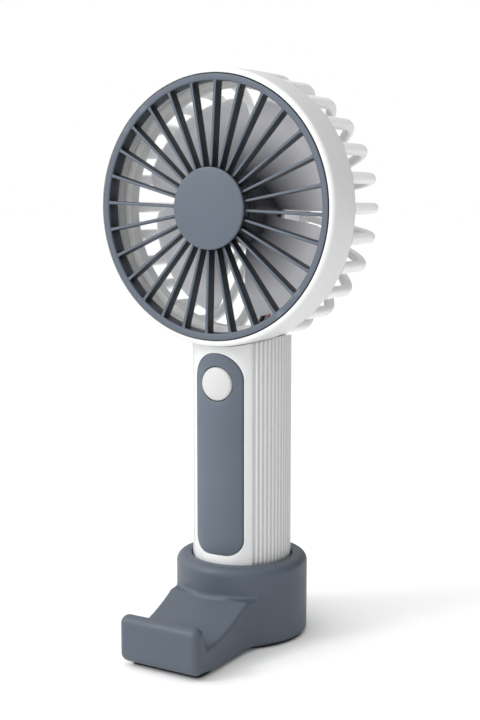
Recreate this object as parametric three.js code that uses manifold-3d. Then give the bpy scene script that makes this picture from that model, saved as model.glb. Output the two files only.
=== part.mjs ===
// A handheld fan that stands in a separate cradle with a phone rest.
// Millimetres, +Z up, the grille faces -Y. The origin is on the handle's axis, on the floor.
import * as THREE from "three";
import { mergeVertices } from "three/addons/utils/BufferGeometryUtils.js";
import Module from "manifold-3d";

const wasm = await Module();
wasm.setup();

// ---------------------------------------------------------------- driving dimensions

const GAP = 0.3; // clearance between neighbouring pieces
const FINE_GAP = 0.15; // clearance round screws and bushes
const TURN = 2 * Math.PI;

const HANDLE_R = 18;
const HANDLE_WALL = 2.2;
const HANDLE_INNER = HANDLE_R - HANDLE_WALL;
const HANDLE_BOTTOM = 6.8;
const HANDLE_FRONT_HALF = 43; // degrees from the front to the seam of the front shell
const SEAM = 0.4; // degrees of clearance at the seam of the two shells
const FLUTE_PITCH = 5.4; // degrees
const FLUTE_DEPTH = 0.45;

const HEAD_Z = 155.8; // height of the fan's axis
const FRONT_Y = -21.5; // plane of the grille's front rim
const HEAD_SEGMENTS = 56;
const RIM_R = 47.9;
const BARREL_REAR_R = 48.2;
const BARREL_DEPTH = 15.4;
const SADDLE_R = BARREL_REAR_R + GAP; // the handle's hollowed top, round the barrel
const SHELL_TOP = HEAD_Z - SADDLE_R + 6;
const ROOF_FRONT_Y = FRONT_Y + BARREL_DEPTH + 0.9;
const NECK_LOW = 99;
const NECK_HIGH = 105;
const NECK_BORE = 12.2;

const GRILLE_R = 45.6;
const GRILLE_INNER_R = 43.2;
const GRILLE_DEPTH = 5.6;
const FIN_COUNT = 28;
const FIN_PHASE = 2.5; // degrees clockwise from twelve o'clock
const CENTRE_CAP_R = 14.2;

const RIB_COUNT = 28;
const RIB_WIDE = 4.2;
const LOWEST_RIB_WIDE = 9.4; // the rib that carries the motor leads
const CAGE_R = BARREL_REAR_R; // over the ribs
const CAGE_DEPTH = 43.4;
const CAGE_CORNER_R = 13.4;
const CAGE_THICK = 3.4;
const CAGE_HUB_R = 17;
const CAGE_BASE_R = 44.9; // over the ring that the barrel holds
const CAGE_BASE_INNER_R = 41.8;
const CAGE_BASE_FRONT = 11.6; // depths of the ring's front and rear faces
const CAGE_BASE_REAR = BARREL_DEPTH + 1.5;
const LEAD_CHANNEL_HALF = 2.2;
const LEAD_CHANNEL_DEEP = 2;
const LEAD_INLET_Y = [7.8, 12.2]; // where the leads come up out of the neck
const LEAD_INLET_Z = [105, 112];

const MOTOR_R = 12.2;
const MOTOR_FRONT = 28; // depth of the motor's front face behind the grille's rim
const MOTOR_REAR = 40;
const SHAFT_R = 1;
const BUSH_R = 2.9;
const MAGNET_DEPTHS = [30.4, 37.4];
const CORE_DEPTHS = [31, 36];
const CORE_R = 9;
const NECK_HALF = 1.4; // half the width of an armature pole's neck

const BLADE_COUNT = 4;
const BLADE_R = 39.3;
const BLADE_SPAN = 82; // degrees each blade covers
const BLADE_PHASE = 10;
const BLADE_THICK = 1.3;
const BLADE_FRONT = 17.6; // depth of a blade's leading edge
const BLADE_REAR = 25;
const IMPELLER_HUB_R = 12.5;

const BUTTON_R = 6.05;
const BUTTON_Z = 94.3;
const PANEL_HALF = 9.5; // half the grip panel's chord
const PANEL_BOTTOM = 32.6;
const PANEL_TOP = 105;
const PANEL_THICK = 0.85;
const PANEL_LOW_CORNER = 5.6;
const PANEL_HIGH_CORNER = 9.3;

const NECK_SCREW_Z = 102.2;
const CAP_SCREW_X = 11.3;
const CAP_SCREW_Y = -3;
const CAP_THICK = 2;

const BOARD_FRONT_Y = -10.2;
const BOARD_THICK = 1;
const PORT_HALF_X = 4.45;
const PORT_HALF_Y = 1.6;
const PORT_Y = BOARD_FRONT_Y + BOARD_THICK + GAP + PORT_HALF_Y;
const BATTERY_R = 9.2;
const BATTERY_Y = 4;
const BATTERY_BOTTOM = 19;
const BATTERY_LENGTH = 65;
const LEAD_R = 0.6;
const LEAD_X = 1.4;

const COLLAR_R = 24.1;
const COLLAR_TOP = 29.5;
const COLLAR_EDGE_R = 3;
const SOCKET_R = 18.4;
const SOCKET_FLOOR = 6.5;
const TONGUE_HALF = 16.1;
const TONGUE_FRONT = -55.5;
const TONGUE_CORNER = 2.4;
const TONGUE_FILLET = 32; // plan fillet between the tongue and the collar
const RAMP_TOP = 18.8;
const GROOVE_Y = -48.9;
const GROOVE_Z = 10.3;
const LIP_TOP = 18;
const LIP_HALF = 2.9;
const FOOT_GAP = 1.6; // height of the stand's underside above the floor
const FOOT_SET_IN = 0.9; // how far a foot sits in its recess
const STAND_FOOT_R = COLLAR_R - 1.2;
const LIP_FOOT_HALF = TONGUE_HALF - 1.9;
const LIP_FOOT_FRONT = TONGUE_FRONT + 4.2;
const LIP_FOOT_REAR = -42.6;
const LIP_FOOT_CORNER = 2.4;

const radians = THREE.MathUtils.degToRad;
const lerp = THREE.MathUtils.lerp;
const clamp = THREE.MathUtils.clamp;

// ---------------------------------------------------------------- solids and booleans

// A geometry as a manifold-3d solid, with its shared vertices merged and its faces out.
function solid(geometry) {
  const bare = geometry.clone();
  bare.deleteAttribute("normal");
  bare.deleteAttribute("uv");
  const merged = mergeVertices(bare, 1e-4);
  const triVerts = new Uint32Array(merged.index.array);
  const vertProperties = merged.attributes.position.array;
  const made = new wasm.Manifold(new wasm.Mesh({ numProp: 3, vertProperties, triVerts }));
  if (made.volume() > 0) return made;
  triVerts.reverse();
  return new wasm.Manifold(new wasm.Mesh({ numProp: 3, vertProperties, triVerts }));
}

// A manifold-3d solid as a three.js geometry.
function geometryOf(made) {
  const mesh = made.getMesh();
  const geometry = new THREE.BufferGeometry();
  geometry.setAttribute("position", new THREE.BufferAttribute(mesh.vertProperties, 3));
  geometry.setIndex(new THREE.BufferAttribute(mesh.triVerts, 1));
  geometry.computeVertexNormals();
  return geometry;
}

function join(first, ...others) {
  return geometryOf(others.reduce((sum, other) => sum.add(solid(other)), solid(first)));
}

function cut(body, ...tools) {
  return geometryOf(tools.reduce((left, tool) => left.subtract(solid(tool)), solid(body)));
}

function common(first, second) {
  return geometryOf(solid(first).intersect(solid(second)));
}

// A solid of revolution about +Z from [radius, z] points, which touch the axis or close up.
function turned(points, segments = 24) {
  const last = points[points.length - 1];
  const closed = points[0][0] > 0 || last[0] > 0;
  const profile = closed ? [...points, points[0]] : points;
  const vectors = profile.map(([r, z]) => new THREE.Vector2(r, z));
  return new THREE.LatheGeometry(vectors, segments).rotateX(Math.PI / 2);
}

function rod(radius, low, high, segments = 24) {
  return turned([[0, low], [radius, low], [radius, high], [0, high]], segments);
}

function tube(inner, outer, low, high, segments = 24) {
  return turned([[inner, low], [outer, low], [outer, high], [inner, high]], segments);
}

// A box between two opposite corners.
function block(corner, opposite) {
  const box = new THREE.Box3().setFromPoints([
    new THREE.Vector3(...corner),
    new THREE.Vector3(...opposite),
  ]);
  const size = box.getSize(new THREE.Vector3());
  const middle = box.getCenter(new THREE.Vector3());
  return new THREE.BoxGeometry(...size).translate(...middle);
}

// A flat outline in plan, raised from one height to another. An arc gets twice curveSegments.
function raised(shape, low, high, curveSegments = 3) {
  const settings = { depth: high - low, bevelEnabled: false, curveSegments };
  return new THREE.ExtrudeGeometry(shape, settings).translate(0, 0, low);
}

// An outline drawn in (y, z), given a width along X about the middle plane.
function acrossX(shape, half, curveSegments = 4) {
  const basis = new THREE.Matrix4().makeBasis(
    new THREE.Vector3(0, 1, 0),
    new THREE.Vector3(0, 0, 1),
    new THREE.Vector3(1, 0, 0),
  );
  return raised(shape, -half, half, curveSegments).applyMatrix4(basis);
}

// An outline drawn in (x, z), pushed through along Y between two planes.
function throughY(shape, nearY, farY, curveSegments = 4) {
  return raised(shape, -farY, -nearY, curveSegments).rotateX(Math.PI / 2);
}

function polygon(points) {
  return new THREE.Shape(points.map(([x, y]) => new THREE.Vector2(x, y)));
}

// A point of the handle's plan at an angle from the front, in degrees towards +X.
function aroundHandle(radius, angle) {
  return [radius * Math.sin(radians(angle)), -radius * Math.cos(radians(angle))];
}

// A rectangle from (-half, low) to (half, high) with its own corner radii below and above.
function roundedPanel(half, low, high, lowR, highR) {
  const shape = new THREE.Shape();
  shape.moveTo(-half, low + lowR);
  shape.absarc(-half + lowR, low + lowR, lowR, Math.PI, 1.5 * Math.PI);
  shape.absarc(half - lowR, low + lowR, lowR, 1.5 * Math.PI, TURN);
  shape.absarc(half - highR, high - highR, highR, 0, Math.PI / 2);
  shape.absarc(-half + highR, high - highR, highR, Math.PI / 2, Math.PI);
  return shape;
}

// ---------------------------------------------------------------- materials

function plastic(color, roughness = 0.5) {
  return new THREE.MeshStandardMaterial({ color, roughness, metalness: 0 });
}

function metal(color, roughness = 0.35) {
  return new THREE.MeshStandardMaterial({ color, roughness, metalness: 1 });
}

const whitePlastic = plastic(0xf1f0ee);
const slatePlastic = plastic(0x5d6878);
const blackPlastic = plastic(0x1c1d20, 0.6);
const blackRubber = plastic(0x17181a, 0.9);
const boardGreen = plastic(0x1f5a3a, 0.6);
const steel = metal(0xb4b7bb);
const darkSteel = metal(0x54575c, 0.5);
const bronze = metal(0xa9773f, 0.45);
const copper = metal(0xb86a3a, 0.4);
const nickel = metal(0xc7c6c0, 0.3);
const ferrite = plastic(0x2b2b2d, 0.7);
const cellWrap = plastic(0x2f6fb0, 0.35);
const redLead = plastic(0xb0262a, 0.45);
const blackLead = plastic(0x202022, 0.45);

// Adds a named piece to a group and hands it back.
function piece(group, name, geometry, material) {
  const mesh = new THREE.Mesh(geometry, material);
  mesh.name = name;
  group.add(mesh);
  return mesh;
}

// ---------------------------------------------------------------- stand

// The stand's outline from above: the round collar, drawn in by fillets to the tongue.
function standPlan() {
  const reach = COLLAR_R + TONGUE_FILLET;
  const filletX = TONGUE_HALF + TONGUE_FILLET;
  const filletY = -Math.sqrt(reach * reach - filletX * filletX);
  const facing = Math.atan2(filletY, filletX); // from the collar's centre to a fillet's
  const corner = TONGUE_CORNER;
  const shape = new THREE.Shape();
  shape.absarc(0, 0, COLLAR_R, facing, Math.PI - facing, false);
  shape.absarc(-filletX, filletY, TONGUE_FILLET, -facing, 0, true);
  shape.absarc(-TONGUE_HALF + corner, TONGUE_FRONT + corner, corner, Math.PI, 1.5 * Math.PI);
  shape.absarc(TONGUE_HALF - corner, TONGUE_FRONT + corner, corner, 1.5 * Math.PI, TURN);
  shape.absarc(filletX, filletY, TONGUE_FILLET, Math.PI, Math.PI + facing, true);
  return shape;
}

// The tongue from the side, in (y, z): lip, phone groove and the ramp up to the collar.
function tongueProfile() {
  const toe = 3.2;
  const lipY = TONGUE_FRONT + LIP_HALF;
  const lipZ = LIP_TOP - LIP_HALF;
  const shape = new THREE.Shape();
  shape.moveTo(0, FOOT_GAP);
  shape.lineTo(0, RAMP_TOP);
  shape.lineTo(-COLLAR_R + 0.6, RAMP_TOP);
  shape.bezierCurveTo(-24.5, RAMP_TOP - 0.6, -37.5, GROOVE_Z + 0.1, GROOVE_Y + 0.6, GROOVE_Z);
  shape.lineTo(GROOVE_Y, GROOVE_Z + 0.2);
  shape.absarc(lipY, lipZ, LIP_HALF, 0, Math.PI, false);
  shape.absarc(TONGUE_FRONT + toe, FOOT_GAP + toe, toe, Math.PI, 1.5 * Math.PI);
  return shape;
}

function standBody() {
  const collar = turned(
    [
      [0, FOOT_GAP],
      [COLLAR_R - 0.4, FOOT_GAP],
      [COLLAR_R, FOOT_GAP + 0.4],
      [COLLAR_R, COLLAR_TOP - COLLAR_EDGE_R],
      [COLLAR_R - 0.3 * COLLAR_EDGE_R, COLLAR_TOP - 0.3 * COLLAR_EDGE_R],
      [COLLAR_R - COLLAR_EDGE_R, COLLAR_TOP],
      [0, COLLAR_TOP],
    ],
    44,
  );
  const plan = raised(standPlan(), 0, COLLAR_TOP, 5);
  const tongue = common(plan, acrossX(tongueProfile(), 2 * COLLAR_R));
  const socket = rod(SOCKET_R, SOCKET_FLOOR, COLLAR_TOP + 1, 36);
  const recessTop = FOOT_GAP + FOOT_SET_IN + GAP;
  const footRecess = rod(STAND_FOOT_R + GAP, 0, recessTop, 36);
  const lipRecess = raised(lipFootOutline(GAP), 0, recessTop, 2);
  return cut(join(collar, tongue), socket, footRecess, lipRecess);
}

function lipFootOutline(grow = 0) {
  const half = LIP_FOOT_HALF + grow;
  const corner = LIP_FOOT_CORNER + grow;
  return roundedPanel(half, LIP_FOOT_FRONT - grow, LIP_FOOT_REAR + grow, corner, corner);
}

function stand() {
  const group = new THREE.Group();
  const footTop = FOOT_GAP + FOOT_SET_IN;
  piece(group, "stand_body", standBody(), slatePlastic);
  piece(group, "stand_foot", rod(STAND_FOOT_R, 0, footTop, 36), blackRubber);
  piece(group, "lip_foot", raised(lipFootOutline(), 0, footTop, 2), blackRubber);
  return group;
}

// ---------------------------------------------------------------- handle

// The bore that a coaxial drum round the fan's axis would hollow out of the handle's top.
function headDrum(radius) {
  return new THREE.CylinderGeometry(radius, radius, 90, 90).translate(0, 0, HEAD_Z);
}

// A handle's wall between two angles from the front, from outer points and a plain bore.
function wallSector(outer, fromAngle, toAngle, steps) {
  const inner = [];
  for (let i = 0; i <= steps; i++) {
    inner.push(aroundHandle(HANDLE_INNER, lerp(toAngle, fromAngle, i / steps)));
  }
  return raised(polygon([...outer, ...inner]), HANDLE_BOTTOM, SHELL_TOP);
}

// The smooth front shell, recessed for the grip panel and bored for the button.
function handleFrontShell() {
  const steps = 12;
  const outer = [];
  for (let i = 0; i <= steps; i++) {
    const angle = lerp(-HANDLE_FRONT_HALF, HANDLE_FRONT_HALF, i / steps);
    outer.push(aroundHandle(HANDLE_R, angle));
  }
  const wall = wallSector(outer, -HANDLE_FRONT_HALF, HANDLE_FRONT_HALF, steps);
  const recess = common(
    throughY(gripOutline(GAP), -HANDLE_R - 2, -8),
    tube(HANDLE_R - PANEL_THICK - GAP, HANDLE_R + 3, PANEL_BOTTOM - 2, PANEL_TOP + 2, 60),
  );
  const buttonBore = rod(BUTTON_R + GAP, 0, 20).rotateX(Math.PI / 2).translate(0, 0, BUTTON_Z);
  return cut(wall, headDrum(SADDLE_R), recess, buttonBore);
}

function gripOutline(grow = 0) {
  return roundedPanel(
    PANEL_HALF + grow,
    PANEL_BOTTOM - grow,
    PANEL_TOP + grow,
    PANEL_LOW_CORNER + grow,
    PANEL_HIGH_CORNER + grow,
  );
}

// The slate panel set into the front shell, curved with it.
function gripPanel() {
  const inner = HANDLE_R - PANEL_THICK;
  const skin = tube(inner, HANDLE_R, PANEL_BOTTOM - 2, PANEL_TOP + 2, 60);
  const plate = common(throughY(gripOutline(), -HANDLE_R - 2, -8), skin);
  const buttonBore = rod(BUTTON_R + GAP, 0, 20).rotateX(Math.PI / 2).translate(0, 0, BUTTON_Z);
  return cut(plate, buttonBore);
}

// The fluted rear shell, with the handle's roof behind the barrel and two screw posts.
function handleRearShell() {
  const start = HANDLE_FRONT_HALF + SEAM;
  const flutes = Math.round((360 - 2 * start) / FLUTE_PITCH);
  const pitch = (360 - 2 * start) / flutes;
  const outer = [aroundHandle(HANDLE_R, start)];
  for (let i = 0; i < flutes; i++) {
    outer.push(aroundHandle(HANDLE_R - FLUTE_DEPTH, start + (i + 0.35) * pitch));
    outer.push(aroundHandle(HANDLE_R, start + (i + 0.7) * pitch));
  }
  outer.push(aroundHandle(HANDLE_R, 360 - start));
  const wall = wallSector(outer, start, 360 - start, 28);
  const roof = common(
    common(rod(HANDLE_INNER + 0.6, HANDLE_BOTTOM, SHELL_TOP, 32), headDrum(SADDLE_R + 2)),
    block([-20, ROOF_FRONT_Y, 90], [20, 20, SHELL_TOP + 1]),
  );
  const posts = [-1, 1].map((side) =>
    common(
      block(
        [side * HANDLE_R, CAP_SCREW_Y - 2.3, HANDLE_BOTTOM + 2.6],
        [side * (CAP_SCREW_X - 2.4), CAP_SCREW_Y + 2.3, HANDLE_BOTTOM + 11],
      ),
      rod(HANDLE_INNER + 0.6, 0, 40, 48),
    ),
  );
  const postHoles = [-1, 1].map((side) =>
    rod(SHAFT_R + FINE_GAP, 0, HANDLE_BOTTOM + 9, 16).translate(
      side * CAP_SCREW_X,
      CAP_SCREW_Y,
      0,
    ),
  );
  const leadHole = block([-LEAD_CHANNEL_HALF, 7.6, 90], [LEAD_CHANNEL_HALF, 12, SHELL_TOP]);
  const screwHole = turned(
    [
      [0, 10],
      [SHAFT_R + FINE_GAP, 10],
      [SHAFT_R + FINE_GAP, HANDLE_R - 1.5],
      [2 + FINE_GAP, HANDLE_R - 1.5],
      [2 + FINE_GAP, HANDLE_R + 1],
      [0, HANDLE_R + 1],
    ],
    16,
  )
    .rotateX(-Math.PI / 2)
    .translate(0, 0, NECK_SCREW_Z);
  const shell = join(wall, roof, ...posts);
  return cut(shell, headDrum(SADDLE_R), ...postHoles, leadHole, screwHole);
}

// A slot with round ends, about a point on the handle's plan.
function portOutline(halfX, halfY) {
  const corner = halfY - 0.05;
  return roundedPanel(halfX, PORT_Y - halfY, PORT_Y + halfY, corner, corner);
}

function handleBottomCap() {
  const disc = rod(HANDLE_INNER - GAP, HANDLE_BOTTOM, HANDLE_BOTTOM + CAP_THICK, 36);
  const portHole = raised(portOutline(PORT_HALF_X + GAP, PORT_HALF_Y + GAP), 0, 20);
  const holes = [-1, 1].map((side) =>
    turned(
      [
        [0, 0],
        [2 + FINE_GAP, 0],
        [2 + FINE_GAP, HANDLE_BOTTOM + 1],
        [SHAFT_R + FINE_GAP, HANDLE_BOTTOM + 1],
        [SHAFT_R + FINE_GAP, 20],
        [0, 20],
      ],
      16,
    ).translate(side * CAP_SCREW_X, CAP_SCREW_Y, 0),
  );
  return cut(disc, portHole, ...holes);
}

// A self-tapping screw along +Z with its head's underside at zero.
function screw(length) {
  const headHigh = 0.9;
  const body = turned(
    [
      [0, -headHigh],
      [1.7, -headHigh],
      [2, -0.5 * headHigh],
      [2, 0],
      [SHAFT_R, 0],
      [SHAFT_R, length - 1],
      [0, length],
    ],
    12,
  );
  const slotA = block([-1.2, -0.2, -2], [1.2, 0.2, -0.4]);
  const slotB = block([-0.2, -1.2, -2], [0.2, 1.2, -0.4]);
  return cut(body, slotA, slotB);
}

// The round power button: a domed cap, a flange that keeps it in, and a stem to the switch.
function powerButton() {
  const flangeFront = 13.9;
  return turned([
    [0, 12.7],
    [1.6, 12.7],
    [1.6, 13.1],
    [BUTTON_R + 1, 13.1],
    [BUTTON_R + 1, flangeFront],
    [BUTTON_R, flangeFront],
    [BUTTON_R, 17.3],
    [BUTTON_R - 0.5, 17.9],
    [0.5 * BUTTON_R, 18.5],
    [0, 18.7],
  ]).rotateX(Math.PI / 2);
}

function handle() {
  const group = new THREE.Group();
  piece(group, "handle_front_shell", handleFrontShell(), whitePlastic);
  piece(group, "handle_rear_shell", handleRearShell(), whitePlastic);
  piece(group, "handle_bottom_cap", handleBottomCap(), whitePlastic);
  piece(group, "grip_panel", gripPanel(), slatePlastic);
  piece(group, "power_button", powerButton(), whitePlastic).position.z = BUTTON_Z;
  const neckScrew = piece(group, "neck_screw", screw(4.2), steel);
  neckScrew.rotation.x = Math.PI / 2;
  neckScrew.position.set(0, HANDLE_R - 1.5, NECK_SCREW_Z);
  [["left", -1], ["right", 1]].forEach(([label, side]) => {
    const capScrew = piece(group, "cap_screw_" + label, screw(7), steel);
    capScrew.position.set(side * CAP_SCREW_X, CAP_SCREW_Y, HANDLE_BOTTOM + 1);
  });
  return group;
}

// ---------------------------------------------------------------- electronics in the handle

function circuitBoard() {
  const back = BOARD_FRONT_Y + BOARD_THICK;
  return block([-8.5, BOARD_FRONT_Y, HANDLE_BOTTOM + 3], [8.5, back, 98]);
}

// The push switch on the board's front face, under the power button.
function tactSwitch() {
  const face = BOARD_FRONT_Y - FINE_GAP;
  const body = block([-3, face - 1.2, BUTTON_Z - 3], [3, face, BUTTON_Z + 3]);
  const plunger = rod(1.3, 0, 1.7, 16).rotateX(Math.PI / 2).translate(0, face, BUTTON_Z);
  return join(body, plunger);
}

// The charging port at the board's lower end: an oval shell with its tongue, open below.
function usbPort() {
  const low = HANDLE_BOTTOM + 0.4;
  const high = low + 7.3;
  const shell = raised(portOutline(PORT_HALF_X, PORT_HALF_Y), low, high);
  const wall = 0.3;
  const mouth = raised(portOutline(PORT_HALF_X - wall, PORT_HALF_Y - wall), low - 1, high - 1);
  const tongue = block([-3.3, PORT_Y - 0.35, low + 0.6], [3.3, PORT_Y + 0.35, high - 0.5]);
  return join(cut(shell, mouth), tongue);
}

function batteryCell() {
  const top = BATTERY_BOTTOM + BATTERY_LENGTH;
  const nub = 1.2;
  return turned(
    [
      [0, BATTERY_BOTTOM],
      [BATTERY_R, BATTERY_BOTTOM],
      [BATTERY_R, top - nub - 0.6],
      [BATTERY_R - 0.6, top - nub],
      [3.2, top - nub],
      [3.2, top],
      [0, top],
    ],
    24,
  ).translate(0, BATTERY_Y, 0);
}

// A bent nickel tab from one end of the cell to the board's back face.
function batteryContact(faceZ, outward) {
  const boardBack = BOARD_FRONT_Y + BOARD_THICK + GAP;
  const thick = 0.4;
  const near = faceZ + outward * GAP;
  const far = near + outward * thick;
  const leg = near - outward * 4;
  const outline = polygon([
    [BATTERY_Y + 3, near],
    [BATTERY_Y + 3, far],
    [boardBack, far],
    [boardBack, leg],
    [boardBack + thick, leg],
    [boardBack + thick, near],
  ]);
  return acrossX(outline, 2.5);
}

// A motor lead, from the board up through the roof and round the cage's channel to the motor.
function motorLead(side) {
  const bendR = CAGE_CORNER_R - CAGE_THICK + 0.5 * LEAD_CHANNEL_DEEP;
  const bendY = FRONT_Y + CAGE_DEPTH - CAGE_CORNER_R;
  const bendZ = HEAD_Z - CAGE_R + CAGE_CORNER_R;
  const bend = [12, 30, 50, 70, 90].map((angle) => [
    bendY + bendR * Math.sin(radians(angle)),
    bendZ - bendR * Math.cos(radians(angle)),
  ]);
  const route = [
    [-8.4, 96.4],
    [-5.5, 97.6],
    [0, 99.4],
    [5.5, 101.6],
    [8.9, 104.4],
    [9.7, 107.6],
    ...bend,
    [bendY + bendR, 130],
    [bendY + bendR, 137],
    [bendY + bendR - 0.6, 140.8],
    [17.6, 143.2],
  ];
  const points = route.map(([y, z]) => new THREE.Vector3(side * LEAD_X, y, z));
  const section = new THREE.Shape().absarc(0, 0, LEAD_R, 0, TURN);
  return new THREE.ExtrudeGeometry(section, {
    steps: 28,
    curveSegments: 4,
    bevelEnabled: false,
    extrudePath: new THREE.CatmullRomCurve3(points),
  });
}

function electronics() {
  const group = new THREE.Group();
  const cellTop = BATTERY_BOTTOM + BATTERY_LENGTH;
  piece(group, "circuit_board", circuitBoard(), boardGreen);
  piece(group, "tact_switch", tactSwitch(), blackPlastic);
  piece(group, "usb_port", usbPort(), nickel);
  piece(group, "battery_cell", batteryCell(), cellWrap);
  piece(group, "battery_contact_top", batteryContact(cellTop, 1), nickel);
  piece(group, "battery_contact_bottom", batteryContact(BATTERY_BOTTOM, -1), nickel);
  piece(group, "motor_lead_red", motorLead(1), redLead);
  piece(group, "motor_lead_black", motorLead(-1), blackLead);
  return group;
}

// ---------------------------------------------------------------- head
// The head's own pieces are drawn facing +Z, with z = 0 at the grille's rim and x and y as seen
// from the front, so a depth behind the rim is a negative z. Their group turns to face -Y.

function placeHead(group) {
  group.position.set(0, FRONT_Y, HEAD_Z);
  group.rotation.x = Math.PI / 2;
  return group;
}

// A geometry drawn in the fan's frame, moved into the head's own frame.
function intoHead(geometry) {
  return geometry.translate(0, -FRONT_Y, -HEAD_Z).rotateX(-Math.PI / 2);
}

// A point of the head's face at a clock angle, in degrees from twelve o'clock.
function clockPoint(radius, angle) {
  return [radius * Math.sin(radians(angle)), radius * Math.cos(radians(angle))];
}

// The plug that the barrel holds in the handle's top: a ring, joined up by its front half.
function neckPlug() {
  const outer = HANDLE_INNER - GAP;
  const ring = rod(outer, NECK_LOW, NECK_HIGH, 32);
  const riser = common(
    rod(outer, NECK_LOW, NECK_HIGH + 8, 32),
    block([-20, -20, 90], [20, FRONT_Y + BARREL_DEPTH - FINE_GAP, 120]),
  );
  const bore = rod(NECK_BORE, NECK_LOW - 1, NECK_HIGH + GAP, 32);
  const buttonRoom = block([-8, -20, 90], [8, -9, BUTTON_Z + BUTTON_R + 1 + GAP + 0.5]);
  const screwHole = rod(SHAFT_R + FINE_GAP, -20, -10, 16)
    .rotateX(Math.PI / 2)
    .translate(0, 0, NECK_SCREW_Z);
  return intoHead(cut(join(ring, riser), bore, buttonRoom, screwHole, headDrum(RIM_R - 0.9)));
}

// The barrel round the impeller, with its soft front rim, and the neck plug.
function headHousing() {
  const seat = GRILLE_R + GAP;
  const step = -GRILLE_DEPTH - GAP;
  const cageSeat = CAGE_BASE_R + GAP;
  const barrel = turned(
    [
      [seat, 0],
      [RIM_R - 1.3, 0],
      [RIM_R - 0.35, -0.7],
      [RIM_R, -2],
      [BARREL_REAR_R, -BARREL_DEPTH],
      [cageSeat, -BARREL_DEPTH],
      [cageSeat, -CAGE_BASE_FRONT + GAP],
      [GRILLE_INNER_R + 1, -CAGE_BASE_FRONT + GAP],
      [GRILLE_INNER_R + 1, step],
      [seat, step],
    ],
    HEAD_SEGMENTS,
  );
  return join(barrel, neckPlug());
}

// One radial fin of the grille, a little deeper and wider at the ring than at the hub.
function grilleFin() {
  const inner = 11;
  const outer = GRILLE_INNER_R + 0.3;
  const outline = polygon([
    [-0.45, inner],
    [0.45, inner],
    [0.58, outer],
    [-0.58, outer],
  ]);
  const fin = raised(outline, 0, 1);
  const position = fin.getAttribute("position");
  for (let i = 0; i < position.count; i++) {
    const along = (position.getY(i) - inner) / (outer - inner);
    const front = lerp(0.3, -0.3, along);
    const back = lerp(-3.6, -4.4, along);
    position.setZ(i, lerp(back, front, position.getZ(i)));
  }
  return fin;
}

function frontGrille() {
  const ring = turned(
    [
      [GRILLE_INNER_R, -0.3],
      [GRILLE_INNER_R + 0.4, 0],
      [GRILLE_R - 0.4, 0],
      [GRILLE_R, -0.4],
      [GRILLE_R, -GRILLE_DEPTH],
      [GRILLE_INNER_R, -GRILLE_DEPTH],
    ],
    HEAD_SEGMENTS,
  );
  const hub = tube(9, CENTRE_CAP_R - 0.6, -3.6, 0.3, 28);
  const fins = [];
  for (let i = 0; i < FIN_COUNT; i++) {
    fins.push(grilleFin().rotateZ(-radians(FIN_PHASE + (i * 360) / FIN_COUNT)));
  }
  return join(ring, hub, ...fins);
}

// The gently domed disc over the grille's hub, with the spigot that holds it.
function centreCap() {
  const under = 0.3 + GAP;
  return turned(
    [
      [0, -3],
      [9 - GAP, -3],
      [9 - GAP, under],
      [CENTRE_CAP_R, under],
      [CENTRE_CAP_R, 1.3],
      [CENTRE_CAP_R - 0.4, 1.6],
      [0, 2],
    ],
    40,
  );
}

// How wide a rib is, seen along its own plane: widest at the barrel, narrowest at the hub.
function ribWidth(radius, depth, widest) {
  const back = clamp((depth - BARREL_DEPTH) / (CAGE_DEPTH - BARREL_DEPTH), 0, 1);
  const inward = clamp((CAGE_R - radius) / (CAGE_R - CAGE_HUB_R), 0, 1);
  return lerp(widest, 0.86 * widest, back) - lerp(0, 0.3 * widest, inward);
}

// A strap that follows the cage: straight back from the barrel, then round a corner and in to
// an end radius. It lies between two insets from the cage's outer surface, in (radius, depth).
function strap(outerInset, innerInset, endR, widest) {
  const cornerR = CAGE_R - CAGE_CORNER_R;
  const cornerDepth = CAGE_DEPTH - CAGE_CORNER_R;
  const start = BARREL_DEPTH + GAP;
  const shape = new THREE.Shape();
  shape.moveTo(endR, CAGE_DEPTH - innerInset);
  shape.lineTo(cornerR, CAGE_DEPTH - innerInset);
  shape.absarc(cornerR, cornerDepth, CAGE_CORNER_R - innerInset, Math.PI / 2, 0, true);
  shape.lineTo(CAGE_R - innerInset, start);
  shape.lineTo(CAGE_R - outerInset, start);
  shape.absarc(cornerR, cornerDepth, CAGE_CORNER_R - outerInset, 0, Math.PI / 2, false);
  shape.lineTo(endR, CAGE_DEPTH - outerInset);
  const made = raised(shape, -0.5, 0.5, 3);
  const position = made.getAttribute("position");
  for (let i = 0; i < position.count; i++) {
    const width = ribWidth(position.getX(i), position.getY(i), widest);
    position.setZ(i, position.getZ(i) * width);
  }
  return made.rotateX(-Math.PI / 2);
}

// One rib of the rear cage, with the root that ties it to the base ring.
function cageRib(widest) {
  const start = BARREL_DEPTH + GAP;
  const root = polygon([
    [CAGE_BASE_R - 1.6, start],
    [CAGE_R - 1, start],
    [CAGE_R - 1, start + 3],
    [CAGE_R - CAGE_THICK, start + 3],
    [CAGE_BASE_R - 1.6, CAGE_BASE_REAR],
  ]);
  const half = 0.42 * widest;
  const tie = raised(root, -half, half).rotateX(-Math.PI / 2);
  return join(strap(0, CAGE_THICK, CAGE_HUB_R - 2, widest), tie);
}

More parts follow.
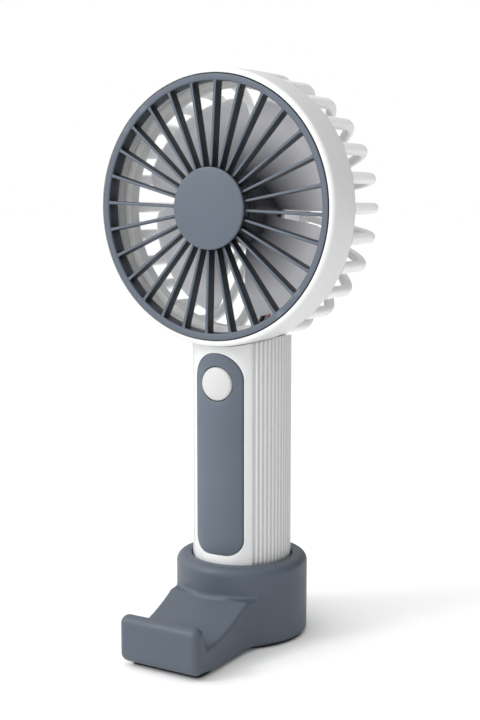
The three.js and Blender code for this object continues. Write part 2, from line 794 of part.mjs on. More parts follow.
// The tools that hollow the lowest rib for the motor leads.
function leadChannel() {
  const half = LEAD_CHANNEL_HALF;
  const [inletFront, inletRear] = LEAD_INLET_Y;
  const [inletLow, inletHigh] = LEAD_INLET_Z;
  const floorInset = CAGE_THICK - LEAD_CHANNEL_DEEP;
  const backY = FRONT_Y + CAGE_DEPTH - floorInset;
  const hubZ = HEAD_Z - MOTOR_R + 0.1;
  const groove = common(
    strap(floorInset, CAGE_THICK + 0.6, MOTOR_R - 0.1, 3 * LOWEST_RIB_WIDE).rotateZ(-Math.PI / 2),
    intoHead(block([-half, inletFront, NECK_LOW], [half, CAGE_DEPTH, HEAD_Z])),
  );
  const inlet = block([-half, inletFront, inletLow], [half, inletRear, inletHigh]);
  const outlet = block([-half, backY - 5, HEAD_Z - 15], [half, backY, hubZ]);
  return [groove, intoHead(inlet), intoHead(outlet)];
}

function rearCage() {
  const base = tube(
    CAGE_BASE_INNER_R,
    CAGE_BASE_R,
    -CAGE_BASE_REAR,
    -CAGE_BASE_FRONT,
    HEAD_SEGMENTS,
  );
  const hub = rod(CAGE_HUB_R, -CAGE_DEPTH, -CAGE_DEPTH + CAGE_THICK, 28);
  const cup = tube(MOTOR_R + GAP, MOTOR_R + 1.9, -CAGE_DEPTH + 1, -MOTOR_FRONT, 28);
  const ribs = [];
  for (let i = 0; i < RIB_COUNT; i++) {
    const lowest = i === RIB_COUNT / 2;
    const rib = cageRib(lowest ? LOWEST_RIB_WIDE : RIB_WIDE);
    ribs.push(rib.rotateZ(Math.PI / 2 - radians((i * 360) / RIB_COUNT)));
  }
  return cut(join(base, hub, cup, ...ribs), ...leadChannel());
}

// ---------------------------------------------------------------- impeller

// A broad twisted blade: it starts near the grille and falls back as it goes clockwise.
function impellerBlade(startAngle) {
  const blade = new THREE.BoxGeometry(1, 1, 1, 2, 7, 1).translate(0.5, 0.5, 0);
  const position = blade.getAttribute("position");
  for (let i = 0; i < position.count; i++) {
    const radius = lerp(IMPELLER_HUB_R - 0.8, BLADE_R, position.getX(i));
    const along = position.getY(i);
    const [x, y] = clockPoint(radius, startAngle + along * BLADE_SPAN);
    const depth = lerp(BLADE_FRONT, BLADE_REAR, along) - position.getZ(i) * BLADE_THICK;
    position.setXYZ(i, x, y, -depth);
  }
  return blade;
}

function impeller() {
  const front = 8.5;
  const rear = MOTOR_FRONT - 1.4;
  const hub = turned(
    [
      [SHAFT_R + 0.05, -front - 1.6],
      [SHAFT_R + 0.05, -rear + 2],
      [3.2, -rear + 2],
      [3.2, -front - 1.6],
      [IMPELLER_HUB_R - 1.5, -front - 2.2],
      [IMPELLER_HUB_R - 1.5, -rear],
      [IMPELLER_HUB_R, -rear],
      [IMPELLER_HUB_R, -front - 1.5],
      [IMPELLER_HUB_R - 1.5, -front],
      [SHAFT_R + 0.05, -front],
    ],
    28,
  );
  const blades = [];
  for (let i = 0; i < BLADE_COUNT; i++) {
    blades.push(impellerBlade(BLADE_PHASE + (i * 360) / BLADE_COUNT));
  }
  return join(hub, ...blades);
}

// ---------------------------------------------------------------- motor

function motorCan() {
  const wall = 0.7;
  return turned(
    [
      [BUSH_R + 0.1, -MOTOR_FRONT],
      [BUSH_R + 0.1, -MOTOR_FRONT - wall],
      [MOTOR_R - wall, -MOTOR_FRONT - wall],
      [MOTOR_R - wall, -MOTOR_REAR + 1.9],
      [MOTOR_R, -MOTOR_REAR + 1.9],
      [MOTOR_R, -MOTOR_FRONT],
    ],
    24,
  );
}

function motorEndCap() {
  return tube(BUSH_R + 0.1, MOTOR_R, -MOTOR_REAR, -MOTOR_REAR + 1.6, 24);
}

// A flanged bearing bush between two depths, bored to run on the shaft.
function bush(front, back) {
  return tube(SHAFT_R + 0.06, BUSH_R, -back, -front, 16);
}

// One curved field magnet, lining the can above or below the armature.
function fieldMagnet(middleAngle) {
  const outer = MOTOR_R - 1;
  const inner = outer - 1.5;
  const shape = new THREE.Shape();
  const start = radians(middleAngle - 65);
  const end = radians(middleAngle + 65);
  shape.absarc(0, 0, outer, start, end, false);
  shape.absarc(0, 0, inner, end, start, true);
  return raised(shape, -MAGNET_DEPTHS[1], -MAGNET_DEPTHS[0], 5);
}

// The three-pole armature core: a boss, three necks and three curved shoes.
function armatureCore() {
  const boss = tube(SHAFT_R + 0.03, 2.6, -CORE_DEPTHS[1], -CORE_DEPTHS[0], 18);
  const poles = [0, 1, 2].map((i) => {
    const neck = raised(
      polygon([
        [-NECK_HALF, 2],
        [NECK_HALF, 2],
        [NECK_HALF, CORE_R - 1],
        [-NECK_HALF, CORE_R - 1],
      ]),
      -CORE_DEPTHS[1],
      -CORE_DEPTHS[0],
    );
    const shoe = new THREE.Shape();
    drawShoe(shoe, CORE_R, CORE_R - 1.6);
    const cap = raised(shoe, -CORE_DEPTHS[1], -CORE_DEPTHS[0], 4);
    return join(neck, cap).rotateZ((i * TURN) / 3);
  });
  return join(boss, ...poles);
}

// An arc band centred on +Y that leaves a slot beside its two neighbours.
function drawShoe(shape, outer, inner) {
  const start = radians(90 - 52);
  const end = radians(90 + 52);
  shape.absarc(0, 0, outer, start, end, false);
  shape.absarc(0, 0, inner, end, start, true);
}

// A coil of magnet wire round one pole's neck, drawn as the block that it fills.
function armatureWinding(index) {
  const half = NECK_HALF + 0.1;
  const outline = polygon([
    [-half - 1.1, -CORE_DEPTHS[1] - 1.1],
    [half + 1.1, -CORE_DEPTHS[1] - 1.1],
    [half + 1.1, -CORE_DEPTHS[0] + 1.1],
    [-half - 1.1, -CORE_DEPTHS[0] + 1.1],
  ]);
  const window = polygon([
    [-half, -CORE_DEPTHS[1] - 0.1],
    [-half, -CORE_DEPTHS[0] + 0.1],
    [half, -CORE_DEPTHS[0] + 0.1],
    [half, -CORE_DEPTHS[1] - 0.1],
  ]);
  outline.holes.push(window);
  const coil = raised(outline, -6.7, -4.4).rotateX(Math.PI / 2);
  return coil.rotateZ((index * TURN) / 3);
}

function head() {
  const group = placeHead(new THREE.Group());
  piece(group, "front_grille", frontGrille(), slatePlastic);
  piece(group, "centre_cap", centreCap(), slatePlastic);
  piece(group, "head_housing", headHousing(), whitePlastic);
  piece(group, "rear_cage", rearCage(), whitePlastic);
  piece(group, "impeller", impeller(), whitePlastic);
  piece(group, "motor_can", motorCan(), steel);
  piece(group, "motor_end_cap", motorEndCap(), blackPlastic);
  piece(group, "motor_bush_front", bush(MOTOR_FRONT - 0.8, MOTOR_FRONT + 1.6), bronze);
  piece(group, "motor_bush_rear", bush(MOTOR_REAR - 2, MOTOR_REAR), bronze);
  piece(group, "motor_magnet_upper", fieldMagnet(90), ferrite);
  piece(group, "motor_magnet_lower", fieldMagnet(270), ferrite);
  piece(group, "motor_shaft", rod(SHAFT_R, -MOTOR_REAR + 0.2, -11, 16), steel);
  piece(group, "armature_core", armatureCore(), darkSteel);
  for (let i = 0; i < 3; i++) {
    piece(group, "armature_winding_" + (i + 1), armatureWinding(i), copper);
  }
  return group;
}

const fan = new THREE.Group();
fan.add(stand(), handle(), electronics(), head());

export default fan;
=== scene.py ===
"""A handheld fan standing in its phone-rest cradle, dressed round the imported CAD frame.

Outlines and stations are in millimetres and become metres when a mesh is made. The head's
pieces are drawn facing +Z, with z = 0 at the grille's rim, x to the right and y up.
"""

import math

import bmesh
import bpy
import numpy as np
from mathutils import Matrix, Vector


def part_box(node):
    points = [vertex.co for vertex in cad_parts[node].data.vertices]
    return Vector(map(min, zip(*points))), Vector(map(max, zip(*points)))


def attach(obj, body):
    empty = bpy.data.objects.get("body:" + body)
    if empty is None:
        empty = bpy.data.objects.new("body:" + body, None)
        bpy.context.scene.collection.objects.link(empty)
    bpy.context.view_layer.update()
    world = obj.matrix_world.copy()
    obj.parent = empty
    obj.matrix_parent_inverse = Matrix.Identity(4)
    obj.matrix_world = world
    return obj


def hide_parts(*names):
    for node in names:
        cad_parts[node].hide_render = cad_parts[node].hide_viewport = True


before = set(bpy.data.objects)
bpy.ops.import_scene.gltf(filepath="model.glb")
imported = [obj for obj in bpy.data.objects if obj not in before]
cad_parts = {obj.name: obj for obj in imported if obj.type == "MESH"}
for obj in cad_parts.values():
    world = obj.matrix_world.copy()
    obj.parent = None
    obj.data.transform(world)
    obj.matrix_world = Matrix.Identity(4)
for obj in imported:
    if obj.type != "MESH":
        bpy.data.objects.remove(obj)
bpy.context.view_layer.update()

MM = 0.001
TURN = 2 * math.pi

# ------------------------------------------------------------------ sizes, read off the frame


def box_mm(node):
    """A CAD node's lowest and highest corners."""
    low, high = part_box(node)
    return np.array(low) / MM, np.array(high) / MM


head_low, head_high = box_mm("head_housing")
cage_high = box_mm("rear_cage")[1]
panel_low, panel_high = box_mm("grip_panel")
button_low, button_high = box_mm("power_button")
stand_low, stand_high = box_mm("stand_body")
shell_low = box_mm("handle_front_shell")[0]
stand_foot_high = box_mm("stand_foot")[1]
lip_foot_low, lip_foot_high = box_mm("lip_foot")

GAP = 0.3

BARREL_REAR_R = head_high[0]
RIM_R = BARREL_REAR_R - 0.3
FACE_Y = head_low[1]
AXIS_Z = head_high[2] - BARREL_REAR_R
CAGE_R = cage_high[0]
CAGE_DEPTH = cage_high[1] - FACE_Y
BARREL_DEPTH = 15.4
GRILLE_R = RIM_R - 2.3
GRILLE_INNER_R = GRILLE_R - 2.4
GRILLE_DEPTH = 5.6
FIN_COUNT = 28
FIN_PHASE = 2.5  # degrees clockwise from twelve o'clock
CAP_R = 14.2
CAGE_BASE_R = 44.9
CAGE_BASE_INNER_R = 41.8
CAGE_BASE_FRONT = 11.6
CAGE_BASE_REAR = BARREL_DEPTH + 1.5
CAGE_THICK = 3.4
CAGE_CORNER_R = 13.4
CAGE_HUB_R = 17
RIB_COUNT = 28
RIB_WIDE = 4.2
LOWEST_RIB_WIDE = 9.4  # the rib that carries the motor leads
LEAD_CHANNEL_HALF = 2.2
LEAD_CHANNEL_DEEP = 2
MOTOR_R = 12.2
MOTOR_FRONT = 28
HUB_R = 12.5
BLADE_COUNT = 4
BLADE_START = 10  # degrees clockwise from twelve o'clock
BLADE_SPAN = 82
BLADE_R = 39.3
BLADE_FRONT = 17.6
BLADE_FALL = 7.4  # how much deeper a blade ends than it starts
BLADE_HALF = 0.65  # half a blade's thickness

HANDLE_R = -shell_low[1]
HANDLE_INNER_R = HANDLE_R - 2.2
HANDLE_BOTTOM = shell_low[2]
FRONT_HALF = 43  # degrees from the handle's front to the seam
SEAM = 0.4  # degrees of clearance at the seam
FLUTE_PITCH = 5.4
FLUTE_DEPTH = 0.45
SADDLE_R = BARREL_REAR_R + 0.05
PANEL_HALF = panel_high[0]
PANEL_BOTTOM = panel_low[2]
PANEL_TOP = panel_high[2]
PANEL_THICK = 0.85
BUTTON_R = button_high[0] - 1
BUTTON_Z = (button_low[2] + button_high[2]) / 2
BUTTON_TOP = -button_low[1]

COLLAR_R = stand_high[0]
COLLAR_TOP = stand_high[2]
COLLAR_EDGE_R = 3
SOCKET_R = HANDLE_R + 0.4
SOCKET_FLOOR = 6.5
TONGUE_FRONT = stand_low[1]
UNDERSIDE = stand_low[2]
TONGUE_HALF = 16.1
TONGUE_FILLET = 32
RAMP_TOP = 18.8
GROOVE_Y = -48.9
GROOVE_Z = 10.3
LIP_TOP = 18
LIP_HALF = 2.9
LIP_START_Y = -46.5
RAMP_EDGE_R = 1.0
LIP_EDGE_R = 2.7
RAMP_FILLET = 1.3  # where the ramp meets the collar
PLAN_INSET = 1.2
FOOT_CORNER = 2.4

FACING = Matrix.Translation(Vector((0, FACE_Y, AXIS_Z)) * MM) @ Matrix.Rotation(math.pi / 2, 4, "X")
BUTTON_FACING = Matrix.Translation(Vector((0, 0, BUTTON_Z)) * MM) @ Matrix.Rotation(math.pi / 2, 4, "X")

# ------------------------------------------------------------------ outlines and skins


def softened(corners, steps=5):
    """A closed outline from (a, b, radius) corners, with each corner rounded to its radius."""
    outline = []
    for i, (a, b, radius) in enumerate(corners):
        here = np.array((a, b), float)
        if radius == 0:
            outline.append(here)
            continue
        before = np.array(corners[i - 1][:2]) - here
        after = np.array(corners[(i + 1) % len(corners)][:2]) - here
        before /= np.linalg.norm(before)
        after /= np.linalg.norm(after)
        half = 0.5 * math.acos(np.clip(before @ after, -1, 1))
        middle = before + after
        centre = here + middle / np.linalg.norm(middle) * radius / math.sin(half)
        start = here + before * radius / math.tan(half) - centre
        end = here + after * radius / math.tan(half) - centre
        first = math.atan2(start[1], start[0])
        sweep = (math.atan2(end[1], end[0]) - first + math.pi) % TURN - math.pi
        for step in range(steps + 1):
            angle = first + sweep * step / steps
            outline.append(centre + radius * np.array((math.cos(angle), math.sin(angle))))
    return np.array(outline)


def resampled(outline, count):
    """The same closed outline with points evenly spaced along it."""
    closed = np.vstack([outline, outline[:1]])
    lengths = np.linalg.norm(np.diff(closed, axis=0), axis=1)
    along = np.concatenate([[0], np.cumsum(lengths)])
    wanted = np.linspace(0, along[-1], count, endpoint=False)
    return np.stack([np.interp(wanted, along, closed[:, k]) for k in (0, 1)], axis=1)


def loft(rings, endless=False):
    """Vertices and faces of a skin over closed rings, capped or joined end to end."""
    count = len(rings[0])
    faces = []
    for i in range(len(rings) if endless else len(rings) - 1):
        a = i * count
        b = (i + 1) % len(rings) * count
        faces += [(a + j, a + (j + 1) % count, b + (j + 1) % count, b + j) for j in range(count)]
    if not endless:
        faces.append(tuple(range(count)))
        faces.append(tuple(range((len(rings) - 1) * count, len(rings) * count)))
    return np.vstack(rings), faces


def turned(profile, segments=128):
    """A closed (radius, z) profile turned about Z."""
    profile = np.asarray(profile, float)
    rings = []
    for i in range(segments):
        angle = TURN * i / segments
        x = profile[:, 0] * math.cos(angle)
        y = profile[:, 0] * math.sin(angle)
        rings.append(np.stack([x, y, profile[:, 1]], axis=1))
    return loft(rings, endless=True)


def raised(outline, low, high):
    """A flat outline in plan, raised from one height to another."""
    flat = np.asarray(outline, float)
    return loft([np.column_stack([flat, np.full(len(flat), z)]) for z in (low, high)])


def spun(skin, degrees):
    """A skin turned clockwise about Z, as seen from the front."""
    verts, faces = skin
    c = math.cos(math.radians(degrees))
    s = math.sin(math.radians(degrees))
    return verts @ np.array([[c, -s, 0], [s, c, 0], [0, 0, 1]]), faces


def gathered(skins):
    """Several separate skins as one."""
    all_verts = []
    all_faces = []
    start = 0
    for verts, faces in skins:
        all_verts.append(verts)
        all_faces += [tuple(v + start for v in face) for face in faces]
        start += len(verts)
    return np.vstack(all_verts), all_faces


def made(name, skin, matrix=None):
    """An object from a skin in millimetres, merged where points meet and with its faces out."""
    verts, faces = skin
    mesh = bpy.data.meshes.new(name)
    mesh.from_pydata((verts * MM).tolist(), [], faces)
    work = bmesh.new()
    work.from_mesh(mesh)
    bmesh.ops.remove_doubles(work, verts=work.verts, dist=1e-7)
    bmesh.ops.recalc_face_normals(work, faces=work.faces)
    work.to_mesh(mesh)
    work.free()
    if matrix is not None:
        mesh.transform(matrix)
    obj = bpy.data.objects.new(name, mesh)
    bpy.context.scene.collection.objects.link(obj)
    return obj


def cad_copy(node):
    """A fresh object with a CAD node's mesh, its shared vertices merged."""
    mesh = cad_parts[node].data.copy()
    work = bmesh.new()
    work.from_mesh(mesh)
    bmesh.ops.remove_doubles(work, verts=work.verts, dist=1e-7)
    work.to_mesh(mesh)
    work.free()
    obj = bpy.data.objects.new(node + "_copy", mesh)
    bpy.context.scene.collection.objects.link(obj)
    return obj


def settled(obj):
    """Applies an object's modifiers to its mesh."""
    evaluated = obj.evaluated_get(bpy.context.evaluated_depsgraph_get())
    mesh = bpy.data.meshes.new_from_object(evaluated)
    obj.modifiers.clear()
    obj.data = mesh
    return obj


def combined(obj, operation, *others):
    """Joins, cuts or intersects an object with others, which are used up."""
    for other in others:
        step = obj.modifiers.new("combine", "BOOLEAN")
        step.operation = operation
        step.solver = "MANIFOLD"
        step.object = other
    settled(obj)
    for other in others:
        bpy.data.objects.remove(other)
    return obj


def shaded(obj, sharp_from=38):
    """Smooth shading, with edges sharper than an angle kept crisp."""
    obj.data.shade_smooth()
    obj.data.set_sharp_from_angle(angle=math.radians(sharp_from))
    return obj


def finished(obj, name, body, nodes, material, sharp_from=38):
    """Names and shades a piece, ties it to its body and material, and hides its CAD nodes."""
    obj.name = name
    shaded(obj, sharp_from)
    obj.data.materials.clear()
    obj.data.materials.append(material)
    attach(obj, body)
    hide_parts(*nodes)
    return obj


# ------------------------------------------------------------------ materials


class Nodes:
    """A material's node tree, with short calls for what the materials share."""

    def __init__(self, name):
        self.material = bpy.data.materials.new(name)
        self.material.use_nodes = True
        self.tree = self.material.node_tree
        self.shader = self.tree.nodes["Principled BSDF"]
        self.place = self.tree.nodes.new("ShaderNodeTexCoord").outputs["Object"]

    def link(self, source, socket):
        self.tree.links.new(source, socket)

    def noise(self, scale, detail=4.0, roughness=0.55):
        node = self.tree.nodes.new("ShaderNodeTexNoise")
        node.inputs["Scale"].default_value = scale
        node.inputs["Detail"].default_value = detail
        node.inputs["Roughness"].default_value = roughness
        self.link(self.place, node.inputs["Vector"])
        return node.outputs["Fac"]

    def spread(self, value, low, high, from_low=0.3, from_high=0.7):
        """A value's range stretched to run from low to high, and held there beyond it."""
        node = self.tree.nodes.new("ShaderNodeMapRange")
        for socket, number in zip(node.inputs[1:5], (from_low, from_high, low, high)):
            socket.default_value = number
        self.link(value, node.inputs[0])
        return node.outputs[0]

    def product(self, first, second):
        node = self.tree.nodes.new("ShaderNodeMath")
        node.operation = "MULTIPLY"
        self.link(first, node.inputs[0])
        self.link(second, node.inputs[1])
        return node.outputs[0]

    def mixed(self, factor, first, second):
        """A colour between two, each a fixed colour or another node's output."""
        node = self.tree.nodes.new("ShaderNodeMix")
        node.data_type = "RGBA"
        self.link(factor, node.inputs["Factor"])
        for socket, colour in zip((node.inputs[6], node.inputs[7]), (first, second)):
            if isinstance(colour, bpy.types.NodeSocket):
                self.link(colour, socket)
            else:
                socket.default_value = (*colour, 1)
        return node.outputs[2]

    def edges(self, low=0.52, high=0.6):
        """One on convex edges and nought on flat ground."""
        pointed = self.tree.nodes.new("ShaderNodeNewGeometry").outputs["Pointiness"]
        return self.spread(pointed, 0, 1, low, high)

    def off_axis(self):
        """Distance in metres from the fan's axis."""
        flat = self.tree.nodes.new("ShaderNodeVectorMath")
        flat.operation = "MULTIPLY_ADD"
        flat.inputs[1].default_value = (1, 0, 1)
        flat.inputs[2].default_value = (0, 0, -AXIS_Z * MM)
        self.link(self.place, flat.inputs[0])
        node = self.tree.nodes.new("ShaderNodeVectorMath")
        node.operation = "LENGTH"
        self.link(flat.outputs["Vector"], node.inputs[0])
        return node.outputs["Value"]

    def painted_gap_shade(self, reach, shut, free):
        """One deep in gaps and hollows, nought where a surface stands free: the mask for painted shade.
        """
        node = self.tree.nodes.new("ShaderNodeAmbientOcclusion")
        node.inputs["Distance"].default_value = reach
        node.samples = 12
        return self.spread(node.outputs["AO"], 1, 0, shut, free)

    def bump(self, height, distance, strength=1.0):
        node = self.tree.nodes.new("ShaderNodeBump")
        node.inputs["Distance"].default_value = distance
        node.inputs["Strength"].default_value = strength
        self.link(height, node.inputs["Height"])
        self.link(node.outputs["Normal"], self.shader.inputs["Normal"])


DISC_SHADOW_FULL_R = 0.012  # metres from the fan's axis, to where the core colour, a painted shadow of the centre disc, is full
DISC_SHADOW_CLEAR_R = 0.032  # and from where there is none of it


def moulded(name, colour, shade, worn, roughness, deep=None, reach=0.01, shut=0.5, free=0.95, core=None):
    """Satin moulded plastic: faint flow clouds, fine spark texture and rubbed edges.

    Given a deep colour, the plastic is toned towards it in gaps narrower than reach, as painted
    shade. Given a core colour, it darkens towards that colour near the fan's axis, as a painted
    shadow of the centre disc.
    """
    made_of = Nodes(name)
    clouds = made_of.noise(45, 3)
    base = made_of.mixed(made_of.spread(clouds, 0, 1), colour, shade)
    speckle = made_of.spread(made_of.noise(1800, 2), 0, 0.35, 0.55, 0.8)
    base = made_of.mixed(speckle, base, shade)
    rubbed = made_of.product(made_of.edges(), made_of.spread(made_of.noise(220, 4), 0.15, 0.8))
    base = made_of.mixed(rubbed, base, worn)
    if deep is not None:
        # painted shade: the plastic is darkened towards the deep colour in narrow gaps, by ambient
        # occlusion
        base = made_of.mixed(made_of.painted_gap_shade(reach, shut, free), base, deep)
    if core is not None:
        # painted shadow: the centre disc's shade is painted as colour darkening towards the fan's axis
        base = made_of.mixed(made_of.spread(made_of.off_axis(), 1, 0, DISC_SHADOW_FULL_R, DISC_SHADOW_CLEAR_R), base, core)
    made_of.link(base, made_of.shader.inputs["Base Color"])
    gloss = made_of.spread(made_of.noise(160, 5), roughness - 0.04, roughness + 0.05)
    made_of.link(gloss, made_of.shader.inputs["Roughness"])
    made_of.shader.inputs["Specular IOR Level"].default_value = 0.4
    made_of.bump(made_of.noise(2600, 3, 0.7), 0.000012, 0.5)
    return made_of.material


def machined(name, colour, shade, roughness, stretch=1.0):
    """Bare or plated metal with faint tool marks and dulled patches."""
    made_of = Nodes(name)
    base = made_of.mixed(made_of.spread(made_of.noise(400, 5), 0, 1), colour, shade)
    made_of.link(base, made_of.shader.inputs["Base Color"])
    gloss = made_of.spread(made_of.noise(900 * stretch, 4), roughness - 0.06, roughness + 0.1)
    made_of.link(gloss, made_of.shader.inputs["Roughness"])
    made_of.shader.inputs["Metallic"].default_value = 1
    made_of.bump(made_of.noise(3500 * stretch, 2), 0.00001, 0.5)
    return made_of.material


WHITE = moulded("white_plastic", (0.72, 0.72, 0.715), (0.69, 0.695, 0.7), (0.78, 0.78, 0.77), 0.42)
# The cage's white is lighter than the barrel's: partly a separate moulding's own tone, partly painted
# light standing in for the bounce light on the ribs.
CAGE_WHITE = moulded("cage_plastic", (0.88, 0.88, 0.875), (0.85, 0.855, 0.86), (0.9, 0.9, 0.89), 0.42)
BUTTON_WHITE = moulded("button_plastic", (0.55, 0.55, 0.545), (0.52, 0.525, 0.53), (0.6, 0.6, 0.59), 0.4)
HANDLE_WHITE = moulded("handle_plastic", (0.65, 0.65, 0.655), (0.62, 0.625, 0.63), (0.7, 0.7, 0.69), 0.42)
FLUTED = moulded(
    "fluted_plastic",
    (0.66, 0.66, 0.655),
    (0.63, 0.635, 0.64),
    (0.74, 0.74, 0.73),
    0.42,
    # deep: painted shade in the flute grooves
    deep=(0.4, 0.4, 0.4),
    reach=0.0012,
    shut=0.7,
)
BLADES = moulded(
    "blade_plastic",
    (0.76, 0.76, 0.8),
    (0.71, 0.715, 0.76),
    (0.82, 0.82, 0.84),
    0.38,
    # core: a painted shadow of the centre disc, near black towards the hub
    core=(0.015, 0.016, 0.024),
)
SLATE = moulded(
    "slate_plastic", (0.094, 0.115, 0.146), (0.082, 0.102, 0.131), (0.14, 0.165, 0.205), 0.44
)
STAND_SLATE = moulded(
    "stand_plastic", (0.076, 0.093, 0.12), (0.067, 0.084, 0.108), (0.12, 0.142, 0.178), 0.46
)
GRILLE = moulded(
    "grille_plastic",
    (0.094, 0.115, 0.146),
    (0.082, 0.102, 0.131),
    (0.14, 0.165, 0.205),
    0.44,
    # deep: painted shade, near black on the fins' sides and the ring's inner wall
    deep=(0.006, 0.008, 0.012),
    reach=0.02,
    shut=0.62,
    free=0.9,
)
RUBBER = moulded("black_rubber", (0.012, 0.013, 0.015), (0.02, 0.021, 0.023), (0.05, 0.05, 0.052), 0.78)
BLACK = moulded("black_plastic", (0.016, 0.017, 0.02), (0.024, 0.025, 0.028), (0.05, 0.05, 0.055), 0.5)
BOARD = moulded("board_green", (0.01, 0.085, 0.04), (0.008, 0.06, 0.03), (0.1, 0.16, 0.08), 0.45)
WRAP = moulded("cell_wrap", (0.03, 0.16, 0.42), (0.025, 0.12, 0.34), (0.1, 0.25, 0.5), 0.3)
RED = moulded("red_lead", (0.45, 0.02, 0.02), (0.38, 0.015, 0.015), (0.5, 0.06, 0.05), 0.4)
DARK_LEAD = moulded("black_lead", (0.014, 0.014, 0.016), (0.02, 0.02, 0.022), (0.04, 0.04, 0.04), 0.4)
FERRITE = moulded("ferrite", (0.024, 0.024, 0.026), (0.035, 0.034, 0.034), (0.06, 0.06, 0.06), 0.7)
STEEL = machined("steel", (0.55, 0.56, 0.58), (0.44, 0.45, 0.47), 0.32)
LAMINATION = machined("lamination_steel", (0.2, 0.21, 0.22), (0.13, 0.13, 0.14), 0.48, 2.0)
NICKEL = machined("nickel", (0.66, 0.65, 0.6), (0.55, 0.54, 0.5), 0.28)
BRONZE = machined("bronze", (0.5, 0.31, 0.13), (0.38, 0.22, 0.09), 0.42)
COPPER = machined("copper", (0.6, 0.24, 0.1), (0.45, 0.16, 0.06), 0.36, 2.0)

# ------------------------------------------------------------------ head


def housing():
    """The barrel with its soft front rim, and the neck plug that goes down into the handle."""
    seat = GRILLE_R + GAP
    cage_seat = CAGE_BASE_R + GAP
    step = -GRILLE_DEPTH - GAP
    inner = GRILLE_INNER_R + 1
    profile = softened(
        [
            (seat, 0, 0.35),
            (RIM_R, 0, 1.4),
            (RIM_R, -2, 0),
            (BARREL_REAR_R, -BARREL_DEPTH, 0.6),
            (cage_seat, -BARREL_DEPTH, 0.25),
            (cage_seat, -CAGE_BASE_FRONT + GAP, 0),
            (inner, -CAGE_BASE_FRONT + GAP, 0.3),
            (inner, step, 0),
            (seat, step, 0),
        ]
    )
    barrel = made("barrel", turned(profile, 192), FACING)
    reach = AXIS_Z - RIM_R + 2.5
    stem = made("stem", turned([(0, 90), (HANDLE_INNER_R, 90), (HANDLE_INNER_R, reach), (0, reach)], 64))
    plug = combined(cad_copy("head_housing"), "INTERSECT", stem)
    drum_r = BARREL_REAR_R - 0.5
    drum = made("drum", turned([(0, -60), (drum_r, -60), (drum_r, 60), (0, 60)], 128), FACING)
    plug = combined(plug, "DIFFERENCE", drum)
    return combined(barrel, "UNION", plug)


def fin():
    """One radial fin: soft edges, a fillet where it meets the ring, deeper and wider at the ring."""
    inner = CAP_R - 3
    outer = GRILLE_INNER_R + 0.5
    rings = []
    for radius in (inner, 13.2, 13.8, 14.6, 16, 20, 26, 32, 37, 41, 42.2, 42.8, 43.2, outer):
        along = (radius - inner) / (outer - inner)
        flare = 0.25 * max(0, 1 - (GRILLE_INNER_R - radius) / 1.0) ** 2
        half = 0.45 + 0.13 * along + flare
        front = 0.3 - 0.6 * along
        back = -3.6 - 0.8 * along
        section = softened(
            [(-half, front, 0.32), (half, front, 0.32), (half, back, 0.2), (-half, back, 0.2)], 3
        )
        rings.append(np.column_stack([section[:, 0], np.full(len(section), radius), section[:, 1]]))
    return loft(rings)


def grille():
    """The ring, the fins and the hub under the centre disc, in one."""
    ring_profile = softened(
        [
            (GRILLE_INNER_R, 0, 0.7),
            (GRILLE_R, 0, 0.4),
            (GRILLE_R, -GRILLE_DEPTH, 0.2),
            (GRILLE_INNER_R, -GRILLE_DEPTH, 0.3),
        ]
    )
    hub_r = CAP_R - 0.6
    hub_profile = softened([(9, 0.3, 0), (hub_r, 0.3, 0.2), (hub_r, -3.6, 0.4), (9, -3.6, 0)])
    ring = made("ring", turned(ring_profile, 224), FACING)
    hub = made("hub", turned(hub_profile, 112), FACING)
    pitch = 360 / FIN_COUNT
    fins = gathered([spun(fin(), FIN_PHASE + i * pitch) for i in range(FIN_COUNT)])
    return combined(ring, "UNION", hub, made("fins", fins, FACING))


def centre_cap():
    """The gently domed disc over the hub, with the spigot under it."""
    under = 0.3 + GAP
    edge = 0.55
    top = [(0, 2), (4, 1.96), (8, 1.83), (11, 1.66), (12.8, 1.52)]
    rim = [
        (CAP_R - edge + edge * math.sin(a), 1.42 - edge + edge * math.cos(a))
        for a in np.linspace(0.08, math.pi / 2, 7)
    ]
    below = [(CAP_R, under + 0.1), (CAP_R - 0.1, under), (8.7, under), (8.7, -3), (0, -3)]
    return made("cap", turned(top + rim + below, 144), FACING)


def rib_width(radius, depth, widest):
    """A rib's width, which narrows towards the back and again towards the hub."""
    back = np.clip((depth - BARREL_DEPTH) / (CAGE_DEPTH - BARREL_DEPTH), 0, 1)
    inward = np.clip((CAGE_R - radius) / (CAGE_R - CAGE_HUB_R), 0, 1)
    return widest * (1 - 0.14 * back - 0.3 * inward)


def cage_path(inset, end_r):
    """Stations (radius, depth, lean) along the cage, an inset below its outer surface."""
    bend = CAGE_CORNER_R - inset
    line_r = CAGE_R - inset
    bend_depth = CAGE_DEPTH - CAGE_CORNER_R
    path = [(line_r, depth, 0.0) for depth in np.linspace(BARREL_DEPTH + GAP, bend_depth, 6)]
    for lean in np.linspace(0, math.pi / 2, 16)[1:]:
        radius = line_r - bend + bend * math.cos(lean)
        path.append((radius, bend_depth + bend * math.sin(lean), lean))
    for radius in np.linspace(line_r - bend, end_r, 8)[1:]:
        path.append((radius, CAGE_DEPTH - inset, math.pi / 2))
    return path


def swept(path, section_at):
    """A skin swept along a cage path, with a section of (across, outward) points at each station."""
    rings = []
    for radius, depth, lean in path:
        section = section_at(radius, depth)
        up = radius + section[:, 1] * math.cos(lean)
        back = depth + section[:, 1] * math.sin(lean)
        rings.append(np.column_stack([section[:, 0], up, -back]))
    return loft(rings)


